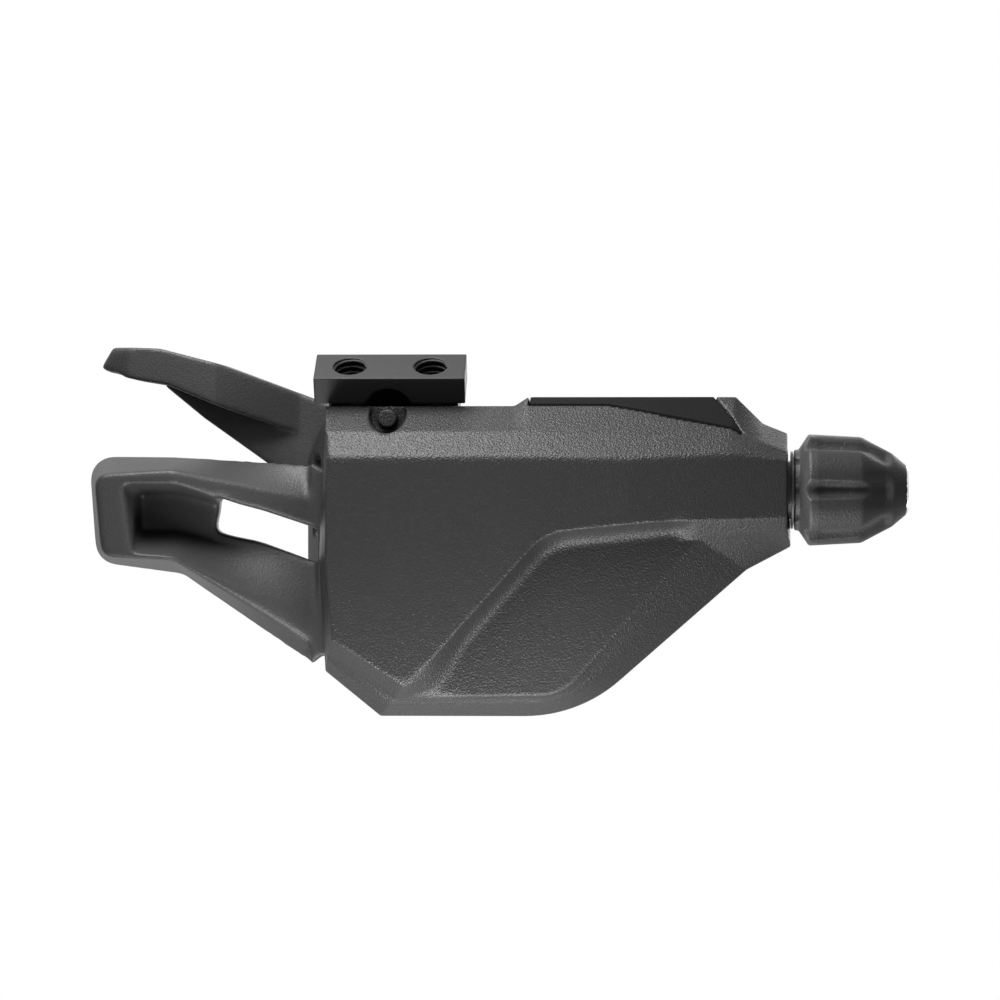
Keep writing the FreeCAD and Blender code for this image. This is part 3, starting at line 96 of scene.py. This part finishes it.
def mottled(tree, source, dark, light):
    """A colour that goes from dark to light with a texture value."""
    made = tree.nodes.new("ShaderNodeValToRGB")
    for stop, position, colour in zip(made.color_ramp.elements, MOTTLE_SPAN, (dark, light)):
        stop.position = position
        stop.color = (*colour, 1)
    tree.links.new(source, made.inputs["Fac"])
    return made.outputs["Color"]


def mapped(tree, source, given, wanted):
    """Maps a value from one span to another."""
    made = add(tree, "ShaderNodeMapRange", From_Min=given[0], From_Max=given[1], To_Min=wanted[0], To_Max=wanted[1])
    tree.links.new(source, made.inputs["Value"])
    return made.outputs["Result"]


def bump(tree, height, strength, distance, below=None):
    made = add(tree, "ShaderNodeBump", Strength=strength, Distance=distance)
    tree.links.new(height, made.inputs["Height"])
    if below is not None:
        tree.links.new(below, made.inputs["Normal"])
    return made.outputs["Normal"]


def split_along_x(tree, coords, colour, place, near, far):
    """Multiplies a colour by near before a place along X, and by far beyond it."""
    parts = tree.nodes.new("ShaderNodeSeparateXYZ")
    tree.links.new(coords, parts.inputs["Vector"])
    blur = ((place - SPLIT_BLUR) * MM, (place + SPLIT_BLUR) * MM)
    scaled = tree.nodes.new("ShaderNodeVectorMath")
    scaled.operation = "SCALE"
    tree.links.new(colour, scaled.inputs[0])
    tree.links.new(mapped(tree, parts.outputs["X"], blur, (near, far)), scaled.inputs["Scale"])
    return scaled.outputs["Vector"]


def finish(tree, shader, colour, roughness, normal, metallic, specular):
    tree.links.new(colour, shader.inputs["Base Color"])
    tree.links.new(roughness, shader.inputs["Roughness"])
    tree.links.new(normal, shader.inputs["Normal"])
    shader.inputs["Metallic"].default_value = metallic
    shader.inputs["Specular IOR Level"].default_value = specular


def moulded(name, shade, rough, pebble, relief, specular, split=None):
    """Grained moulded plastic: pebbles of a given size and relief, a finer tooth, and slight mottling."""
    material, tree, shader = new_material(name)
    coords = tree.nodes.new("ShaderNodeTexCoord").outputs["Object"]
    grain = noise(tree, coords, GRAIN_SCALE / (pebble * MM), 4.0, 0.6)
    cloud = noise(tree, coords, CLOUD_SCALE, 2.0, 0.5)
    tooth = noise(tree, coords, TOOTH_SCALE, 2.0)
    colour = mottled(tree, grain, (shade * MOTTLE_DARK,) * 3, (shade * MOTTLE_LIGHT,) * 3)
    if split:
        colour = split_along_x(tree, coords, colour, *split)
    roughness = mapped(tree, cloud, (0, 1), (rough - CLOUD_ROUGHNESS, rough + CLOUD_ROUGHNESS))
    normal = bump(tree, pebbles(tree, coords, pebble), relief, PEBBLE_DEPTH_M)
    normal = bump(tree, grain, relief * GRAIN_STRENGTH, GRAIN_DEPTH_M, normal)
    normal = bump(tree, tooth, TOOTH_STRENGTH, TOOTH_DEPTH_M, normal)
    finish(tree, shader, colour, roughness, normal, 0.0, specular)
    return material


def metal(name, shade, rough, streak=0.0, metallic=1.0, specular=0.5, split=None):
    """Machined or blackened metal with fine tool marks."""
    material, tree, shader = new_material(name)
    coords = tree.nodes.new("ShaderNodeTexCoord").outputs["Object"]
    marks = noise(tree, coords, MARK_SCALE)
    tarnish = noise(tree, coords, TARNISH_SCALE)
    colour = mottled(tree, tarnish, tuple(part * TARNISH_DARK for part in shade), shade)
    if split:
        colour = split_along_x(tree, coords, colour, *split)
    roughness = mapped(tree, marks, (0, 1), (rough - MARK_ROUGHNESS, rough + MARK_ROUGHNESS))
    normal = bump(tree, marks, MARK_STRENGTH + streak, MARK_DEPTH_M)
    finish(tree, shader, colour, roughness, normal, metallic, specular)
    return material


# The knob's collar is paler than its grip. The stem is painted nearly black behind its nose: painted shade where it
# shows between the parts in the knob's neck.
COLLAR_SPLIT = (53.2, 1.5, 1.0)
NECK_SHADE_SPLIT = (62.0, 0.05, 1.0)

FINISH = {
    "cover_plastic": moulded("cover_grain", shade=0.012, rough=0.37, pebble=0.22, relief=1.0, specular=0.12),
    "base_plastic": moulded("base_grain", shade=0.018, rough=0.5, pebble=0.3, relief=0.3, specular=0.14),
    "hatch_plastic": moulded("hatch_grain", shade=0.004, rough=0.6, pebble=0.25, relief=0.2, specular=0.03),
    "lever_composite": moulded("lever_grain", shade=0.018, rough=0.46, pebble=0.25, relief=0.45, specular=0.14),
    "knob_plastic": moulded("knob_grain", shade=0.0155, rough=0.46, pebble=0.25, relief=0.55, specular=0.14,
                            split=COLLAR_SPLIT),
    "spool_plastic": moulded("spool_plastic", shade=0.05, rough=0.45, pebble=0.3, relief=0.12, specular=0.42),
    "bracket_alloy": metal("black_anodised", shade=(0.0105, 0.0105, 0.011), rough=0.5, streak=0.1, metallic=0.0,
                           specular=0.12),
    "steel": metal("machined_steel", shade=(0.56, 0.56, 0.57), rough=0.3, streak=0.1),
    "screw_steel": metal("black_oxide", shade=(0.02, 0.02, 0.021), rough=0.4, streak=0.05, metallic=0.0,
                         specular=0.3),
    "spring_steel": metal("spring_steel", shade=(0.42, 0.42, 0.43), rough=0.34),
    "bush_brass": metal("sintered_brass", shade=(0.5, 0.36, 0.16), rough=0.42),
    # painted shade: the stem's colour is cut to nearly black behind its nose
    "stem_alloy": metal("bright_alloy", shade=(0.75, 0.75, 0.76), rough=0.22, streak=0.15, split=NECK_SHADE_SPLIT),
}


def dress(obj, material):
    obj.data.materials.clear()
    obj.data.materials.append(material)


# Sculpting

def fade_in(value, span):
    """0 below a span, 1 above it and smooth between."""
    low, high = span
    part = min(max((value - low) / (high - low), 0.0), 1.0)
    return part * part * (3 - 2 * part)


def fade_out(value, span):
    return 1 - fade_in(value, span)


FACE_Y, PANEL_Y = -8.0, -5.2
COVER_BACK_Y, COVER_FRONT = -3.0, (3.0, 5.0)
WALL_X, WALL_Z = (5.0, 38.5), (-39.2, -17.0)
WALL_LEFT, WALL_RIGHT, WALL_TOP = (5.0, 10.0), (35.0, 38.5), (-20.5, -17.5)
WALL_LIP, WALL_HOLLOW = 0.05, 2.8
FACE_TOP, FACE_HEIGHT, FACE_FALL = -12.0, 31.0, 0.7


def sculpt_cover(point):
    """Hollows the wall above the lower panel, and lets the front fall back a little towards its foot."""
    x, y, z = point / MM
    if y > COVER_BACK_Y:
        return
    along = ((y - FACE_Y) / (PANEL_Y - FACE_Y) - WALL_LIP) / (1 - WALL_LIP)
    if WALL_X[0] < x < WALL_X[1] and WALL_Z[0] < z < WALL_Z[1] and 0 < along < 1:
        share = fade_in(x, WALL_LEFT) * fade_out(x, WALL_RIGHT) * fade_out(z, WALL_TOP)
        y += (PANEL_Y - FACE_Y) * (1 - (1 - along) ** WALL_HOLLOW - along) * share
    fall = FACE_FALL * (max(FACE_TOP - z, 0.0) / FACE_HEIGHT) ** 2
    point.y = (y + fall * fade_in(-y, COVER_FRONT)) * MM


WALL_END_LEFT, WALL_END_RIGHT = (0.5, 2.5), (6.5, 10.0)
WALL_END_TOP, WALL_END_FRONT = (-38.5, -36.5), (2.5, 4.0)
ROLL_LOW, ROLL_TOP = (-14.5, -12.5), (-9.0, -8.2)
ROLL_FRONT, ROLL_RIGHT = (1.0, 2.5), (45.0, 48.0)


def cover_wear(point):
    """Where the cover is rounded most: the wall's lower end, and the roll below the top shoulder."""
    x, y, z = point / MM
    wall_end = (fade_in(x, WALL_END_LEFT) * fade_out(x, WALL_END_RIGHT)
                * fade_out(z, WALL_END_TOP) * fade_in(-y, WALL_END_FRONT))
    roll = fade_in(z, ROLL_LOW) * fade_out(z, ROLL_TOP) * fade_in(-y, ROLL_FRONT) * fade_out(x, ROLL_RIGHT)
    return max(wall_end, roll)


KNOB_Y, KNOB_Z, KNOB_LOBES = -0.5, -15.5, 6
KNOB_CORE = (4.2, 5.2)
GRIP_LEFT, GRIP_RIGHT, GRIP_FLARE = (51.5, 54.0), (61.5, 63.5), (57.5, 61.5)
GROOVE_DEPTH = 0.5


def sculpt_knob(point):
    """Crowns the lobes between the knob's grooves, and lets the grooves flare out on its nose."""
    x, y, z = point / MM
    across, up = y - KNOB_Y, z - KNOB_Z
    radius = math.hypot(across, up)
    if radius < KNOB_CORE[0]:
        return
    flare = fade_in(x, GRIP_FLARE)
    groove = (0.5 + 0.5 * math.cos(KNOB_LOBES * math.atan2(up, -across))) ** (2 - flare)
    share = fade_in(x, GRIP_LEFT) * fade_out(x, GRIP_RIGHT) * fade_in(radius, KNOB_CORE)
    shrink = 1 - GROOVE_DEPTH * (1 + flare) * groove * share / radius
    point.y, point.z = (KNOB_Y + across * shrink) * MM, (KNOB_Z + up * shrink) * MM


WINDOW_LEFT, WINDOW_RIGHT = (-25.0, -21.0), (-19.0, -16.0)
WINDOW_LOW, WINDOW_TOP = (-22.5, -21.0), (-16.5, -15.0)
WINDOW_SHIFT, WINDOW_LOW_SHIFT, WINDOW_SLOPE = 0.6, 1.1, (17.0, 20.5)


def sculpt_pull_lever(point):
    """Squares up the window's end towards the pad."""
    x, y, z = point / MM
    if WINDOW_LEFT[0] < x < WINDOW_RIGHT[1] and WINDOW_LOW[0] < z < WINDOW_TOP[1]:
        near = fade_in(x, WINDOW_LEFT) * fade_out(x, WINDOW_RIGHT)
        level = fade_in(z, WINDOW_LOW) * fade_out(z, WINDOW_TOP)
        shift = WINDOW_SHIFT + WINDOW_LOW_SHIFT * fade_in(-z, WINDOW_SLOPE)
        point.x = (x - shift * near * level) * MM


def pull_lever_wear(point):
    """Where the pull lever is rounded most: the pocket, the window and the pad."""
    return 0.5 * fade_out(point.x / MM, (-11.0, -8.5))


def release_lever_wear(point):
    """Where the release lever is rounded most: its tip."""
    return 0.7 * fade_out(point.x / MM, (-35.5, -32.5))


# Skins

# Each skin's voxel, its rounds of smoothing and the most triangles that it may have.
SKINS = {
    "front_cover": (0.18, 5, 170000),
    "rear_housing": (0.28, 3, 60000),
    "pull_lever": (0.22, 20, 80000),
    "release_lever": (0.2, 22, 50000),
    "cable_port_cover": (0.12, 5, 16000),
    "adjuster_knob": (0.13, 16, 60000),
    "mounting_bracket": (0.11, 2, 40000),
}
SCULPT = {"front_cover": sculpt_cover, "adjuster_knob": sculpt_knob, "pull_lever": sculpt_pull_lever}
WEAR = {"front_cover": cover_wear, "pull_lever": pull_lever_wear, "release_lever": release_lever_wear}
WEAR_ROUNDS, LEAST_WEAR = 70, 0.01
SMOOTHING = 0.5
TIP_PLUG, TIP_PLUG_RADII = (-35.8, 9.5, 0.6), (0.5, 0.5, 1.1)


def baked(obj):
    """Replaces an object's mesh by what its modifiers make of it."""
    depsgraph = bpy.context.evaluated_depsgraph_get()
    mesh = bpy.data.meshes.new_from_object(obj.evaluated_get(depsgraph))
    obj.modifiers.clear()
    obj.data = mesh


def smoothing(skin, rounds, group=""):
    smooth = skin.modifiers.new("smooth", "SMOOTH")
    smooth.factor = SMOOTHING
    smooth.iterations = rounds
    smooth.vertex_group = group


def fill_tip(skin):
    """Closes the thin place where the release lever's hollow reaches its tip facet."""
    shape = bmesh.new()
    shape.from_mesh(skin.data)
    plug = Matrix.Translation(Vector(TIP_PLUG) * MM) @ Matrix.Diagonal((*TIP_PLUG_RADII, 1))
    bmesh.ops.create_icosphere(shape, subdivisions=3, radius=MM, matrix=plug)
    shape.to_mesh(skin.data)
    shape.free()


def copy_of(node):
    """A free copy of a CAD node, without the frame's own marks."""
    skin = NODES[node].copy()
    skin.data = NODES[node].data.copy()
    skin.name = node + "_skin"
    skin.parent = None
    for key in [key for key in skin.keys() if key.startswith("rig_")]:
        del skin[key]
    bpy.context.scene.collection.objects.link(skin)
    return skin


def sculpt(skin, node):
    """Moves a skin's points, and marks where it is rounded most."""
    move, wear = SCULPT.get(node), WEAR.get(node)
    group = skin.vertex_groups.new(name="wear")
    for vertex in skin.data.vertices:
        share = wear(vertex.co) if wear else 0
        if share > LEAST_WEAR:
            group.add([vertex.index], share, "REPLACE")
        if move:
            move(vertex.co)
    if wear:
        smoothing(skin, WEAR_ROUNDS, "wear")


def soft_skin(node, voxel, rounds, triangles):
    """A copy of a CAD node with its edges worn round, as moulding or casting leaves them."""
    skin = copy_of(node)
    if node == "release_lever":
        fill_tip(skin)
    remesh = skin.modifiers.new("remesh", "REMESH")
    remesh.mode = "VOXEL"
    remesh.voxel_size = voxel * MM
    baked(skin)
    sculpt(skin, node)
    smoothing(skin, rounds)
    count = sum(len(face.vertices) - 2 for face in skin.data.polygons)
    reduce = skin.modifiers.new("reduce", "DECIMATE")
    reduce.ratio = min(1.0, triangles / count)
    baked(skin)
    skin.data.name = skin.name
    skin.vertex_groups.clear()
    skin.data.polygons.foreach_set("use_smooth", [True] * len(skin.data.polygons))
    dress(skin, FINISH[SLOT_OF[node]])
    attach(skin, BODY_OF[node])
    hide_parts(node)


def make_skins():
    for node, (voxel, rounds, triangles) in SKINS.items():
        soft_skin(node, voxel, rounds, triangles)


def dress_nodes():
    for name, obj in NODES.items():
        if name not in SKINS:
            dress(obj, FINISH[SLOT_OF[name]])


# Threads in the clamp holes

THREAD_PITCH, THREAD_RIDGE = 0.8, 0.22
THREAD_STEPS, THREAD_SIDES = 36, 8
THREAD_INPUTS = {
    "Holes": "NodeSocketGeometry", "Wall Radius": "NodeSocketFloat", "Ridge": "NodeSocketFloat",
    "Pitch": "NodeSocketFloat", "Turns": "NodeSocketFloat", "Tilt": "NodeSocketVector",
    "Finish": "NodeSocketMaterial",
}


def linked(tree, kind, links, **settings):
    """The first output of a new node, whose inputs are links or plain values."""
    made = tree.nodes.new(kind)
    for key, value in settings.items():
        setattr(made, key, value)
    for name, source in links.items():
        if isinstance(source, bpy.types.NodeSocket):
            tree.links.new(source, made.inputs[name])
        else:
            made.inputs[name].default_value = source
    return made.outputs[0]


def thread_tree():
    """Geometry nodes that wind one thread ridge about each point of a mesh."""
    tree = bpy.data.node_groups.new("clamp_thread", "GeometryNodeTree")
    for name, kind in THREAD_INPUTS.items():
        tree.interface.new_socket(name, in_out="INPUT", socket_type=kind)
    tree.interface.new_socket("Threads", in_out="OUTPUT", socket_type="NodeSocketGeometry")
    given = tree.nodes.new("NodeGroupInput").outputs
    height = linked(tree, "ShaderNodeMath", {0: given["Pitch"], 1: given["Turns"]}, operation="MULTIPLY")
    drop = linked(tree, "ShaderNodeMath", {0: height, 1: -0.5}, operation="MULTIPLY")
    path = linked(tree, "GeometryNodeCurveSpiral", {
        "Resolution": THREAD_STEPS, "Rotations": given["Turns"], "Start Radius": given["Wall Radius"],
        "End Radius": given["Wall Radius"], "Height": height})
    centred = linked(tree, "GeometryNodeSetPosition", {
        "Geometry": path, "Offset": linked(tree, "ShaderNodeCombineXYZ", {"Z": drop})})
    profile = linked(tree, "GeometryNodeCurvePrimitiveCircle", {
        "Resolution": THREAD_SIDES, "Radius": given["Ridge"]})
    ridge = linked(tree, "GeometryNodeCurveToMesh", {
        "Curve": centred, "Profile Curve": profile, "Fill Caps": True})
    placed = linked(tree, "GeometryNodeInstanceOnPoints", {
        "Points": given["Holes"], "Instance": ridge, "Rotation": given["Tilt"]})
    solid = linked(tree, "GeometryNodeRealizeInstances", {"Geometry": placed})
    smooth = linked(tree, "GeometryNodeSetShadeSmooth", {"Geometry": solid})
    dressed = linked(tree, "GeometryNodeSetMaterial", {"Geometry": smooth, "Material": given["Finish"]})
    tree.links.new(dressed, tree.nodes.new("NodeGroupOutput").inputs["Threads"])
    return tree


def make_clamp_threads():
    """The thread in the bracket's two clamp holes."""
    holes = [mount for mount in frame["record"]["mounts"] if mount["kind"] == "threaded_hole"]
    mesh = bpy.data.meshes.new("clamp_threads")
    mesh.from_pydata([tuple(hole["pos_m"]) for hole in holes], [], [])
    threads = bpy.data.objects.new("clamp_threads", mesh)
    bpy.context.scene.collection.objects.link(threads)
    wall, length = holes[0]["dims"]["r_mm"], holes[0]["dims"]["length_mm"]
    sizes = {
        "Wall Radius": wall * MM, "Ridge": THREAD_RIDGE * MM, "Pitch": THREAD_PITCH * MM,
        "Turns": (length - 2 * THREAD_RIDGE) / THREAD_PITCH,
        "Tilt": Vector(holes[0]["axis"]).to_track_quat("Z", "Y").to_euler(),
        "Finish": FINISH["bracket_alloy"],
    }
    wound = threads.modifiers.new("thread", "NODES")
    wound.node_group = thread_tree()
    for item in wound.node_group.interface.items_tree:
        if item.name in sizes:
            wound[item.identifier] = sizes[item.name]
    baked(threads)
    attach(threads, "housing")


# Studio

VIEW_CENTRE = Vector((13.75, 0, -16.75)) * MM
VIEW_DISTANCE_M, VIEW_WIDTH_M = 0.5, 0.125
VIEW_TURN = math.radians(2.4)
SENSOR = 36
FLOOR_RADIUS_M, FLOOR_HEIGHT_M, FLOOR_SHADE, FLOOR_ROUGHNESS = 1.5, -0.6, 0.8, 0.9
SKY_STRENGTH = 0.08

# Each light's place from the view's centre, its width and height in metres, and its power.
LIGHTS = {
    "top_strip": ((-0.03, -0.036, 0.1), 0.09, 0.06, 0.62),
    "top_back": ((0.0, 0.25, 0.40), 0.5, 0.25, 0.2),
    "low_box": ((-0.03, -0.10, -0.42), 0.25, 0.25, 1.6),
    "low_near": ((-0.004, -0.033, -0.056), 0.07, 0.012, 0.155),
    "back_fill": ((0.12, 0.36, 0.1), 0.3, 0.3, 0.8),
}


def look_at_centre(obj):
    obj.rotation_euler = (VIEW_CENTRE - obj.location).to_track_quat("-Z", "Y").to_euler()


def make_camera():
    data = bpy.data.cameras.new("camera")
    data.sensor_width = SENSOR
    data.lens = SENSOR * VIEW_DISTANCE_M / VIEW_WIDTH_M
    data.clip_start = 0.01
    camera = bpy.data.objects.new("camera", data)
    bpy.context.scene.collection.objects.link(camera)
    away = Vector((math.sin(VIEW_TURN), -math.cos(VIEW_TURN), 0))
    camera.location = VIEW_CENTRE + away * VIEW_DISTANCE_M
    look_at_centre(camera)
    bpy.context.scene.camera = camera


def make_light(name, place, width, height, power):
    data = bpy.data.lights.new(name, "AREA")
    data.energy = power
    data.shape = "RECTANGLE"
    data.size = width
    data.size_y = height
    light = bpy.data.objects.new(name, data)
    bpy.context.scene.collection.objects.link(light)
    light.location = VIEW_CENTRE + Vector(place)
    light.visible_camera = False
    look_at_centre(light)


def white_background(tree, shader_socket, out_socket):
    """Shows plain white to the camera and in gloss and glass, and the shader to everything else."""
    path = tree.nodes.new("ShaderNodeLightPath")
    seen = path.outputs["Is Camera Ray"]
    for ray in ("Is Glossy Ray", "Is Transmission Ray"):
        seen = linked(tree, "ShaderNodeMath", {0: seen, 1: path.outputs[ray]}, operation="MAXIMUM")
    white = add(tree, "ShaderNodeEmission", Strength=1.0).outputs["Emission"]
    tree.links.new(linked(tree, "ShaderNodeMixShader", {0: seen, 1: shader_socket, 2: white}), out_socket)


def make_floor():
    material, tree, shader = new_material("floor_white")
    shader.inputs["Base Color"].default_value = (FLOOR_SHADE, FLOOR_SHADE, FLOOR_SHADE, 1)
    shader.inputs["Roughness"].default_value = FLOOR_ROUGHNESS
    out = next(node for node in tree.nodes if node.type == "OUTPUT_MATERIAL")
    white_background(tree, shader.outputs["BSDF"], out.inputs["Surface"])
    shape = bmesh.new()
    bmesh.ops.create_circle(shape, cap_ends=True, segments=64, radius=FLOOR_RADIUS_M)
    mesh = bpy.data.meshes.new("floor")
    shape.to_mesh(mesh)
    shape.free()
    floor = bpy.data.objects.new("floor", mesh)
    floor.location = (0, 0, FLOOR_HEIGHT_M)
    bpy.context.scene.collection.objects.link(floor)
    dress(floor, material)


def make_sky():
    world = bpy.data.worlds.new("studio")
    bpy.context.scene.world = world
    world.use_nodes = True
    tree = world.node_tree
    tree.nodes.clear()
    out = tree.nodes.new("ShaderNodeOutputWorld")
    soft = add(tree, "ShaderNodeBackground", Color=(1, 1, 1, 1), Strength=SKY_STRENGTH)
    white_background(tree, soft.outputs["Background"], out.inputs["Surface"])


make_skins()
make_clamp_threads()
dress_nodes()
make_camera()
make_floor()
make_sky()
for light_name, (place, width, height, power) in LIGHTS.items():
    make_light(light_name, place, width, height, power)
bpy.context.scene.view_settings.view_transform = "Standard"
